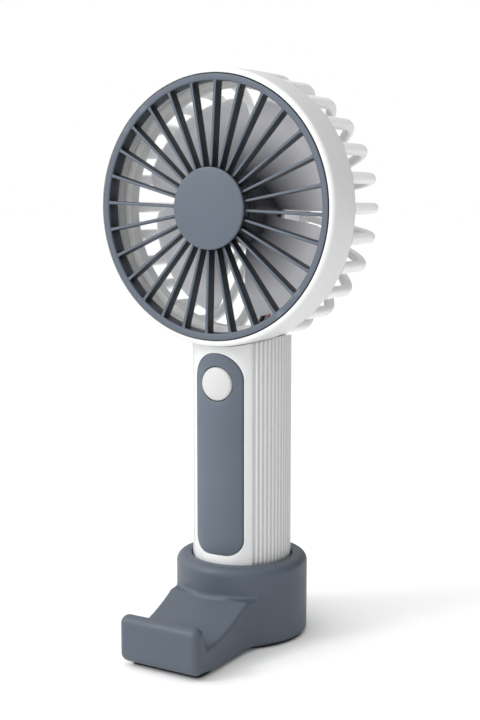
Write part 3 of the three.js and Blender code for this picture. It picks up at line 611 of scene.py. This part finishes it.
def rib(widest):
    """One rounded strap of the rear cage, from the barrel round to the hub."""
    thick = CAGE_THICK / 2

    def section(radius, depth):
        half = rib_width(radius, depth, widest) / 2
        soft = min(1.55, half - 0.05)
        corners = [(-half, thick, soft), (half, thick, soft), (half, -thick, 1.1), (-half, -thick, 1.1)]
        return softened(corners, 5)

    return swept(cage_path(thick, CAGE_HUB_R - 2), section)


def rib_root(widest):
    """The tie from a rib's start in to the base ring."""
    start = BARREL_DEPTH + GAP
    half = 0.42 * widest
    side = [
        (CAGE_BASE_R - 1.6, -start),
        (CAGE_R - 1.2, -start),
        (CAGE_R - 1.2, -start - 3),
        (CAGE_R - CAGE_THICK + 0.3, -start - 3),
        (CAGE_BASE_R - 1.6, -CAGE_BASE_REAR),
    ]
    return loft([np.array([(x, up, front) for up, front in side]) for x in (-half, half)])


def lead_groove():
    """The cutter for the channel that carries the motor leads down the lowest rib."""
    deep = LEAD_CHANNEL_DEEP + 0.6
    start_depth = 29
    inset = CAGE_THICK - LEAD_CHANNEL_DEEP + deep / 2
    half = LEAD_CHANNEL_HALF
    section = np.array([(-half, deep / 2), (half, deep / 2), (half, -deep / 2), (-half, -deep / 2)])
    path = [step for step in cage_path(inset, MOTOR_R - 0.1) if step[1] > start_depth]
    return swept(path, lambda radius, depth: section)


def block(corner, opposite):
    """A plain cutter between two opposite corners."""
    x0, y0, z0 = corner
    x1, y1, z1 = opposite
    return made("block", raised([(x0, y0), (x1, y0), (x1, y1), (x0, y1)], z0, z1))


def rear_cage():
    """Base ring, ribs, hub and motor cup in one, with the channel for the motor leads."""
    base_profile = softened(
        [
            (CAGE_BASE_INNER_R, -CAGE_BASE_FRONT, 0.4),
            (CAGE_BASE_R, -CAGE_BASE_FRONT, 0.2),
            (CAGE_BASE_R, -CAGE_BASE_REAR, 0.5),
            (CAGE_BASE_INNER_R, -CAGE_BASE_REAR, 0.5),
        ]
    )
    front = -CAGE_DEPTH + CAGE_THICK
    hub_profile = softened(
        [(0, -CAGE_DEPTH, 0), (0, front, 0), (CAGE_HUB_R, front, 0.5), (CAGE_HUB_R, -CAGE_DEPTH, 1.2)]
    )
    cup_profile = softened(
        [
            (MOTOR_R + GAP, -CAGE_DEPTH + 1, 0),
            (MOTOR_R + 1.9, -CAGE_DEPTH + 1, 0),
            (MOTOR_R + 1.9, -MOTOR_FRONT, 0.4),
            (MOTOR_R + GAP, -MOTOR_FRONT, 0.3),
        ]
    )
    base = made("base", turned(base_profile, 192), FACING)
    hub = made("hub", turned(hub_profile, 112), FACING)
    cup = made("cup", turned(cup_profile, 96), FACING)
    turns = [i * 360 / RIB_COUNT for i in range(RIB_COUNT) if i != RIB_COUNT // 2]
    ribs = made("ribs", gathered([spun(rib(RIB_WIDE), turn) for turn in turns]), FACING)
    roots = made("roots", gathered([spun(rib_root(RIB_WIDE), turn) for turn in turns]), FACING)
    lowest = made("lowest", spun(rib(LOWEST_RIB_WIDE), 180), FACING)
    lowest_root = made("lowest_root", spun(rib_root(LOWEST_RIB_WIDE), 180), FACING)
    cage = combined(base, "UNION", hub, cup, ribs, roots, lowest, lowest_root)
    groove = made("groove", spun(lead_groove(), 180), FACING)
    half = LEAD_CHANNEL_HALF
    back_y = FACE_Y + CAGE_DEPTH - CAGE_THICK + LEAD_CHANNEL_DEEP
    inlet = block((-half, 7.8, 105), (half, 12.2, 112))
    outlet = block((-half, back_y - 5, AXIS_Z - 15), (half, back_y, AXIS_Z - MOTOR_R + 0.1))
    return combined(cage, "DIFFERENCE", groove, inlet, outlet)


def blade(start):
    """A broad twisted blade with rounded tips, falling back as it goes clockwise."""
    across = np.linspace(0, 1, 33)
    near_end = np.minimum(across, 1 - across)
    edge = np.sqrt(np.clip(1 - (1 - np.minimum(near_end / 0.035, 1)) ** 2, 0, 1))
    corner = 1 - np.sqrt(np.clip(1 - (1 - np.minimum(near_end / 0.13, 1)) ** 2, 0, 1))
    outer = BLADE_R - 6.5 * corner
    depth = BLADE_FRONT + BLADE_FALL * across
    angle = np.radians(start + BLADE_SPAN * across)
    inner = HUB_R - 0.8
    stations = [(reach, 1.0) for reach in np.linspace(0, 0.97, 12)]
    stations += [(0.985, 0.8), (0.995, 0.5), (1, 0.15)]
    rings = []
    for reach, thin in stations:
        radius = inner + (outer - inner) * reach
        x = radius * np.sin(angle)
        y = radius * np.cos(angle)
        half = BLADE_HALF * np.maximum(edge, 0.08) * thin
        front = np.column_stack([x, y, -depth + half])
        back = np.column_stack([x, y, -depth - half])
        rings.append(np.vstack([front, back[::-1]]))
    return loft(rings)


def impeller():
    """The blades round a cup-shaped hub that covers the motor's front."""
    front = 8.5
    rear = MOTOR_FRONT - 1.4
    profile = softened(
        [
            (1.05, -front - 1.6, 0),
            (1.05, -rear + 2, 0),
            (3.2, -rear + 2, 0),
            (3.2, -front - 1.6, 0),
            (HUB_R - 1.5, -front - 2.2, 0.5),
            (HUB_R - 1.5, -rear, 0.2),
            (HUB_R, -rear, 0.2),
            (HUB_R, -front, 3),
            (1.05, -front, 0.2),
        ]
    )
    hub = made("hub", turned(profile, 112), FACING)
    blades = gathered([blade(BLADE_START + i * 360 / BLADE_COUNT) for i in range(BLADE_COUNT)])
    return combined(hub, "UNION", made("blades", blades, FACING))


finished(housing(), "housing", "fan_body", ["head_housing"], WHITE)
finished(grille(), "grille", "fan_body", ["front_grille"], GRILLE)
finished(centre_cap(), "centre_disc", "fan_body", ["centre_cap"], SLATE)
finished(rear_cage(), "cage", "fan_body", ["rear_cage"], CAGE_WHITE)
finished(impeller(), "fan_wheel", "rotor", ["impeller"], BLADES)

# ------------------------------------------------------------------ handle

PANEL_POINTS = 220


def panel_outline():
    """The grip panel's outline in (x, z), with a low corner and a rounder top."""
    corners = [
        (-PANEL_HALF, PANEL_BOTTOM, 5.6),
        (PANEL_HALF, PANEL_BOTTOM, 5.6),
        (PANEL_HALF, PANEL_TOP, 9.3),
        (-PANEL_HALF, PANEL_TOP, 9.3),
    ]
    return resampled(softened(corners, 24), PANEL_POINTS)


def outward(loop):
    """The unit normals of a closed outline that runs anticlockwise."""
    along = np.roll(loop, -1, axis=0) - np.roll(loop, 1, axis=0)
    normal = np.column_stack([along[:, 1], -along[:, 0]])
    return normal / np.linalg.norm(normal, axis=1)[:, None]


def wrapped(loop, radius):
    """An outline in (x, z) laid onto the front of a cylinder about Z."""
    x = loop[:, 0]
    return np.column_stack([x, -np.sqrt(radius**2 - x**2), loop[:, 1]])


def saddle_z(x):
    """Height of the handle's hollowed top, where the barrel sits."""
    return AXIS_Z - np.sqrt(SADDLE_R**2 - np.asarray(x) ** 2)


def shell_border(loop, normal):
    """Where lines outward from an outline meet the front shell's edges."""
    half = HANDLE_R * math.sin(math.radians(FRONT_HALF))
    border = []
    for (x, z), (nx, nz) in zip(loop, normal):
        reach = [1e3]
        if abs(nx) > 1e-6:
            reach.append((math.copysign(half, nx) - x) / nx)
        if nz < -1e-6:
            reach.append((z - HANDLE_BOTTOM) / -nz)
        if nz > 1e-6:
            along = nx * x + nz * (z - AXIS_Z)
            inside = along**2 - (x**2 + (z - AXIS_Z) ** 2 - SADDLE_R**2)
            if inside > 0:
                reach.append(-along - math.sqrt(inside))
        step = min(reach)
        border.append((x + step * nx, z + step * nz))
    border = np.array(border)
    for x in (-half, half):
        for z in (HANDLE_BOTTOM, float(saddle_z(half))):
            nearest = np.argmin(np.hypot(border[:, 0] - x, border[:, 1] - z))
            border[nearest] = (x, z)
    return border


def between(first, last, radius, steps):
    """Loops that lead from one outline to another over a cylinder, both ends included."""
    return [wrapped(first + (last - first) * t, radius) for t in np.linspace(0, 1, steps)]


def button_loop(outline, radius):
    """A circle about the button, with a point for each point of an outline."""
    angle = np.arctan2(outline[:, 1] - BUTTON_Z, outline[:, 0])
    return np.column_stack([radius * np.cos(angle), BUTTON_Z + radius * np.sin(angle)])


def front_shell():
    """The smooth front shell, with the recess for the grip panel and the button's bore."""
    outline = panel_outline()
    normal = outward(outline)
    recess = outline + GAP * normal
    bore = button_loop(outline, BUTTON_R + GAP)
    border = shell_border(recess, normal)
    floor_r = HANDLE_R - PANEL_THICK - GAP
    inner_border = border.copy()
    inner_border[:, 0] *= HANDLE_INNER_R / HANDLE_R
    on_top = border[:, 1] > saddle_z(border[:, 0]) - 0.01
    inner_border[on_top, 1] = saddle_z(inner_border[on_top, 0])
    rings = [wrapped(bore, HANDLE_INNER_R)]
    rings += between(bore, recess, floor_r, 12)
    rings.append(wrapped(recess, HANDLE_R - 0.3))
    rings.append(wrapped(recess + 0.06 * normal, HANDLE_R - 0.1))
    rings += between(recess + 0.28 * normal, border - 0.25 * normal, HANDLE_R, 10)
    rings.append(wrapped(border - 0.05 * normal, HANDLE_R - 0.06))
    rings.append(wrapped(border, HANDLE_R - 0.25))
    rings += between(inner_border, bore, HANDLE_INNER_R, 12)[:-1]
    return made("front", loft(rings, endless=True))


def grip_panel():
    """The grip panel, wrapped onto the handle and open where the button comes through."""
    outline = panel_outline()
    normal = outward(outline)
    bore = button_loop(outline, BUTTON_R + GAP)
    toward = bore - np.array((0, BUTTON_Z))
    toward /= np.linalg.norm(toward, axis=1)[:, None]
    inner_r = HANDLE_R - PANEL_THICK
    rings = between(bore, outline, inner_r, 12)
    rings.append(wrapped(outline, HANDLE_R - 0.35))
    rings.append(wrapped(outline - 0.06 * normal, HANDLE_R - 0.12))
    rings += between(outline - 0.3 * normal, bore + 0.3 * toward, HANDLE_R, 14)
    rings.append(wrapped(bore + 0.06 * toward, HANDLE_R - 0.1))
    rings.append(wrapped(bore, HANDLE_R - 0.3))
    return made("panel", loft(rings, endless=True))


def neck_screw_cut(radius, outer, inner, segments):
    """A round cutter along the neck screw, between two distances behind the handle's axis."""
    low, high = box_mm("neck_screw")
    rise = Matrix.Translation((0, 0, (low[2] + high[2]) / 2 * MM))
    profile = [(0, outer), (radius, outer), (radius, inner), (0, inner)]
    return made("cut", turned(profile, segments), rise @ Matrix.Rotation(math.pi / 2, 4, "X"))


def rear_shell():
    """The fluted rear shell. Its roof and screw posts come from the CAD node."""
    start = FRONT_HALF + SEAM
    flutes = round((360 - 2 * start) / FLUTE_PITCH)
    steps = 10
    turn = np.radians(np.linspace(start, 360 - start, flutes * steps + 1))
    place = np.arange(len(turn)) % steps / steps
    dip = np.sin(np.pi * np.minimum(place / 0.82, 1)) ** 2
    radius = HANDLE_R - FLUTE_DEPTH * dip
    outer = np.column_stack([radius * np.sin(turn), -radius * np.cos(turn)])
    bore_turn = turn[::-4]
    inner = HANDLE_INNER_R * np.column_stack([np.sin(bore_turn), -np.cos(bore_turn)])
    plan = np.vstack([outer, inner])
    top = saddle_z(plan[:, 0])
    rings = []
    for share in (0, 0.004, 0.35, 0.7, 1):
        shrink = 1 - 0.012 * (share == 0)
        z = HANDLE_BOTTOM + (top - HANDLE_BOTTOM) * share
        rings.append(np.column_stack([plan * shrink, z]))
    wall = made("wall", loft(rings))
    core_r = HANDLE_INNER_R + 0.5
    core = made("core", turned([(0, 0), (core_r, 0), (core_r, 130), (0, 130)], 96))
    fittings = combined(cad_copy("handle_rear_shell"), "INTERSECT", core)
    shell = combined(wall, "UNION", fittings)
    head_hole = neck_screw_cut(2.15, -19, -16.5, 32)
    shank_hole = neck_screw_cut(1.15, -20, -8, 24)
    return combined(shell, "DIFFERENCE", head_hole, shank_hole)


def power_button():
    """A softly domed cap, with the flange that keeps it in and the stem under it."""
    edge = 0.9
    side_top = 17.95 - edge
    dome = [
        (BUTTON_R - edge + edge * math.sin(a), side_top + edge * math.cos(a))
        for a in np.linspace(math.pi / 2, 0.25, 7)
    ]
    crown = [(4, BUTTON_TOP - 0.35), (2.5, BUTTON_TOP - 0.13), (1.2, BUTTON_TOP - 0.03), (0, BUTTON_TOP)]
    flange_r = BUTTON_R + 1
    stem = [(0, 12.7), (1.6, 12.7), (1.6, 13.1)]
    below = [*stem, (flange_r, 13.1), (flange_r, 13.9), (BUTTON_R, 13.9)]
    return made("button", turned(below + dome + crown, 112), BUTTON_FACING)


finished(front_shell(), "front_shell", "fan_body", ["handle_front_shell"], HANDLE_WHITE)
finished(rear_shell(), "rear_shell", "fan_body", ["handle_rear_shell"], FLUTED, 50)
finished(grip_panel(), "grip", "fan_body", ["grip_panel"], SLATE)
finished(power_button(), "button_cap", "button", ["power_button"], BUTTON_WHITE)

# ------------------------------------------------------------------ stand


def rounded_union(a, b, radius):
    """Distance to two shapes joined with a fillet."""
    u = np.maximum(radius - a, 0)
    v = np.maximum(radius - b, 0)
    return np.maximum(radius, np.minimum(a, b)) - np.hypot(u, v)


def rounded_common(a, b, radius):
    """Distance to what two shapes share, with its edges rounded."""
    return -rounded_union(-a, -b, radius)


def rectangle(x, y, low, high, corner):
    """Distance from (x, y) to a rectangle between two corners, its corners rounded."""
    dx = np.abs(x - (low[0] + high[0]) / 2) - (high[0] - low[0]) / 2 + corner
    dy = np.abs(y - (low[1] + high[1]) / 2) - (high[1] - low[1]) / 2 + corner
    outside = np.hypot(np.maximum(dx, 0), np.maximum(dy, 0))
    return outside + np.minimum(np.maximum(dx, dy), 0) - corner


def outline_distance(x, y, outline):
    """Distance from points to a closed outline, negative inside it."""
    best = np.full(len(x), 1e9)
    inside = np.zeros(len(x), bool)
    for (ax, ay), (bx, by) in zip(outline, np.roll(outline, -1, axis=0)):
        ex, ey = bx - ax, by - ay
        t = np.clip(((x - ax) * ex + (y - ay) * ey) / (ex * ex + ey * ey + 1e-12), 0, 1)
        best = np.minimum(best, (x - ax - t * ex) ** 2 + (y - ay - t * ey) ** 2)
        if ay != by:
            crosses = (ay > y) != (by > y)
            inside ^= crosses & (x < (bx - ax) * (y - ay) / (by - ay) + ax)
    return np.where(inside, -1, 1) * np.sqrt(best)


def tongue_side():
    """The tongue from the side, in (y, z): lip, phone groove and the ramp up to the collar."""
    t = np.linspace(0, 1, 26)[:, None]
    start = np.array((-COLLAR_R + 0.6, RAMP_TOP))
    end = np.array((GROOVE_Y + 0.6, GROOVE_Z))
    lean_in = np.array((-24.5, RAMP_TOP - 0.6))
    lean_out = np.array((-37.5, GROOVE_Z + 0.1))
    ramp = (1 - t) ** 3 * start + 3 * (1 - t) ** 2 * t * lean_in
    ramp = ramp + 3 * (1 - t) * t**2 * lean_out + t**3 * end
    lip_y = TONGUE_FRONT + LIP_HALF
    lip_z = LIP_TOP - LIP_HALF
    arc = np.linspace(0, math.pi, 24)
    lip = np.column_stack([lip_y + LIP_HALF * np.cos(arc), lip_z + LIP_HALF * np.sin(arc)])
    toe = 3.2
    arc = np.linspace(math.pi, 1.5 * math.pi, 10)
    under = np.column_stack([TONGUE_FRONT + toe + toe * np.cos(arc), UNDERSIDE + toe + toe * np.sin(arc)])
    return np.vstack([[(0, UNDERSIDE), (0, RAMP_TOP)], ramp, lip, under])


def stand_plan():
    """The tongue from above, with wide fillets to a circle just inside the collar.

    The tongue runs on past the lip, whose own side view ends it.
    """
    plan_r = COLLAR_R - PLAN_INSET
    reach = plan_r + TONGUE_FILLET
    fillet_x = TONGUE_HALF + TONGUE_FILLET
    fillet_y = -math.sqrt(reach**2 - fillet_x**2)
    facing = math.atan2(fillet_y, fillet_x)

    def arc(x, y, radius, first, last, steps):
        return [
            (x + radius * math.cos(a), y + radius * math.sin(a)) for a in np.linspace(first, last, steps)
        ]

    beyond = TONGUE_FRONT - 8
    return np.array(
        arc(0, 0, plan_r, facing, math.pi - facing, 72)
        + arc(-fillet_x, fillet_y, TONGUE_FILLET, -facing, 0, 18)
        + [(-TONGUE_HALF, beyond), (TONGUE_HALF, beyond)]
        + arc(fillet_x, fillet_y, TONGUE_FILLET, math.pi, math.pi + facing, 18)
    )


def stand_distance(p, side, plan_outline):
    """Distance from points to the stand's rounded surface."""
    x, y, z = p.T
    r = np.hypot(x, y)
    collar = rectangle(r, z, (-COLLAR_R, UNDERSIDE), (COLLAR_R, COLLAR_TOP), 0.4)
    soft_top = rounded_common(r - COLLAR_R, z - COLLAR_TOP, COLLAR_EDGE_R)
    collar = np.maximum(collar, soft_top)
    plan = outline_distance(x, y, plan_outline)
    profile = outline_distance(y, z, side)
    lip_share = np.clip((LIP_START_Y - y) / 4, 0, 1)
    edge = RAMP_EDGE_R + (LIP_EDGE_R - RAMP_EDGE_R) * lip_share
    tongue = rounded_common(plan, profile, edge)
    body = rounded_union(collar, tongue, RAMP_FILLET)
    socket = rectangle(r, z, (-SOCKET_R, SOCKET_FLOOR), (SOCKET_R, COLLAR_TOP + 40), 0.6)
    body = rounded_common(body, -socket, 0.7)
    foot_r = stand_foot_high[0] + GAP
    foot_top = stand_foot_high[2] + GAP
    foot = rectangle(r, z, (-foot_r, -20), (foot_r, foot_top), 0)
    low = lip_foot_low[:2] - GAP
    high = lip_foot_high[:2] + GAP
    pad = np.maximum(rectangle(x, y, low, high, FOOT_CORNER + GAP), z - foot_top)
    return rounded_common(body, -np.minimum(foot, pad), 0.2)


def stand_body():
    """The stand, remeshed finely and drawn onto its exact rounded surface."""
    body = cad_copy("stand_body")
    remesh = body.modifiers.new("remesh", "REMESH")
    remesh.mode = "VOXEL"
    remesh.voxel_size = 0.45 * MM
    settled(body)
    count = len(body.data.vertices)
    flat = np.empty(count * 3, np.float32)
    body.data.vertices.foreach_get("co", flat)
    points = flat.reshape(-1, 3).astype(float) / MM
    outlines = (tongue_side(), stand_plan())
    probe = 0.02
    for _ in range(4):
        here = stand_distance(points, *outlines)
        slope = np.empty_like(points)
        for axis in range(3):
            moved = points.copy()
            moved[:, axis] += probe
            slope[:, axis] = (stand_distance(moved, *outlines) - here) / probe
        steep = np.maximum((slope**2).sum(axis=1), 0.25)
        step = np.clip(here / steep, -0.4, 0.4)
        points -= slope * step[:, None]
    body.data.vertices.foreach_set("co", (points * MM).astype(np.float32).ravel())
    body.data.update()
    return body


def foot(name, outline):
    """A rubber foot with its lower edge rounded."""
    inset = (0.5, 0.17, 0.0, 0.0, 0.15)
    height = (0.0, 0.15, 0.5, stand_foot_high[2] - 0.15, stand_foot_high[2])
    normal = outward(outline)
    rings = []
    for step, z in zip(inset, height):
        rings.append(np.column_stack([outline - step * normal, np.full(len(outline), z)]))
    return made(name, loft(rings))


def stand_foot():
    angle = np.linspace(0, TURN, 144, endpoint=False)
    return foot("foot", stand_foot_high[0] * np.column_stack([np.cos(angle), np.sin(angle)]))


def lip_foot():
    x0, y0 = lip_foot_low[:2]
    x1, y1 = lip_foot_high[:2]
    corners = [(x, y, FOOT_CORNER) for x, y in ((x0, y0), (x1, y0), (x1, y1), (x0, y1))]
    return foot("foot", softened(corners, 8))


finished(stand_body(), "cradle", "stand", ["stand_body"], STAND_SLATE, 60)
finished(stand_foot(), "round_foot", "stand", ["stand_foot"], RUBBER)
finished(lip_foot(), "front_foot", "stand", ["lip_foot"], RUBBER)

# ------------------------------------------------------------------ what stays as CAD

KEPT = {
    "handle_bottom_cap": HANDLE_WHITE,
    "neck_screw": STEEL,
    "cap_screw_left": STEEL,
    "cap_screw_right": STEEL,
    "circuit_board": BOARD,
    "tact_switch": BLACK,
    "usb_port": NICKEL,
    "battery_cell": WRAP,
    "battery_contact_top": NICKEL,
    "battery_contact_bottom": NICKEL,
    "motor_lead_red": RED,
    "motor_lead_black": DARK_LEAD,
    "motor_can": STEEL,
    "motor_end_cap": BLACK,
    "motor_bush_front": BRONZE,
    "motor_bush_rear": BRONZE,
    "motor_magnet_upper": FERRITE,
    "motor_magnet_lower": FERRITE,
    "motor_shaft": STEEL,
    "armature_core": LAMINATION,
    "armature_winding_1": COPPER,
    "armature_winding_2": COPPER,
    "armature_winding_3": COPPER,
}
for node_name, node_material in KEPT.items():
    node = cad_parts[node_name]
    node.data.materials.clear()
    node.data.materials.append(node_material)

# ------------------------------------------------------------------ camera, floor and light


def camera():
    """The photograph's viewing angle: right of the fan's face, level with the fan's axis."""
    data = bpy.data.cameras.new("camera")
    data.lens = 62.56
    data.clip_start = 0.01
    data.clip_end = 100
    obj = bpy.data.objects.new("camera", data)
    bpy.context.scene.collection.objects.link(obj)
    azimuth = math.radians(31.101)
    pitch = 0.13
    forward = Vector((-math.sin(azimuth), math.cos(azimuth), 0)) * math.cos(pitch)
    forward.z = -math.sin(pitch)
    obj.location = (0.23264, -0.38702, 0.1599)
    obj.rotation_mode = "QUATERNION"
    obj.rotation_quaternion = forward.to_track_quat("-Z", "Y")
    bpy.context.scene.camera = obj


def floor():
    """A wide pale floor."""
    half = 8.0
    mesh = bpy.data.meshes.new("floor")
    corners = [(-half, -half, 0), (half, -half, 0), (half, half, 0), (-half, half, 0)]
    mesh.from_pydata(corners, [], [(0, 1, 2, 3)])
    obj = bpy.data.objects.new("floor", mesh)
    bpy.context.scene.collection.objects.link(obj)
    pale = Nodes("floor")
    tone = pale.mixed(pale.spread(pale.noise(2), 0, 1), (0.93, 0.93, 0.93), (0.95, 0.95, 0.95))
    pale.link(tone, pale.shader.inputs["Base Color"])
    pale.shader.inputs["Roughness"].default_value = 0.9
    pale.shader.inputs["Specular IOR Level"].default_value = 0.0
    mesh.materials.append(pale.material)


def softbox(name, place, aim, size, power):
    """A square area light, with its size in metres and its power in watts."""
    data = bpy.data.lights.new(name, "AREA")
    data.shape = "SQUARE"
    data.size = size
    data.energy = power
    obj = bpy.data.objects.new(name, data)
    bpy.context.scene.collection.objects.link(obj)
    obj.location = place
    obj.rotation_mode = "QUATERNION"
    obj.rotation_quaternion = (Vector(aim) - Vector(place)).to_track_quat("-Z", "Y")


SKY_DARK = -0.667  # cosine to the bright side at which the surroundings have no light left
SKY_BRIGHT = 1.75  # strength on the bright side


def studio():
    """Surroundings brighter towards the front left and above, with a soft key light there."""
    world = bpy.data.worlds.new("studio")
    bpy.context.scene.world = world
    world.use_nodes = True
    tree = world.node_tree
    light = tree.nodes["Background"]
    light.inputs["Color"].default_value = (1, 1, 1, 1)
    toward = tree.nodes.new("ShaderNodeVectorMath")
    toward.operation = "DOT_PRODUCT"
    toward.inputs[1].default_value = Vector((-0.55, -0.6, 0.58)).normalized()
    tree.links.new(tree.nodes.new("ShaderNodeTexCoord").outputs["Generated"], toward.inputs[0])
    level = tree.nodes.new("ShaderNodeMapRange")
    for socket, number in zip(level.inputs[1:5], (SKY_DARK, 1, 0, SKY_BRIGHT)):
        socket.default_value = number
    tree.links.new(toward.outputs["Value"], level.inputs[0])
    tree.links.new(level.outputs[0], light.inputs["Strength"])
    seen = tree.nodes.new("ShaderNodeBackground")
    seen.inputs["Color"].default_value = (1, 1, 1, 1)
    seen.inputs["Strength"].default_value = 1.0
    mix = tree.nodes.new("ShaderNodeMixShader")
    ray = tree.nodes.new("ShaderNodeLightPath")
    tree.links.new(ray.outputs["Is Camera Ray"], mix.inputs["Fac"])
    tree.links.new(light.outputs["Background"], mix.inputs[1])
    tree.links.new(seen.outputs["Background"], mix.inputs[2])
    tree.links.new(mix.outputs["Shader"], tree.nodes["World Output"].inputs["Surface"])
    softbox("key", (-0.55, -0.75, 0.75), (0, 0, 0.1), 0.35, 4)


camera()
floor()
studio()
bpy.context.scene.view_settings.view_transform = "Standard"
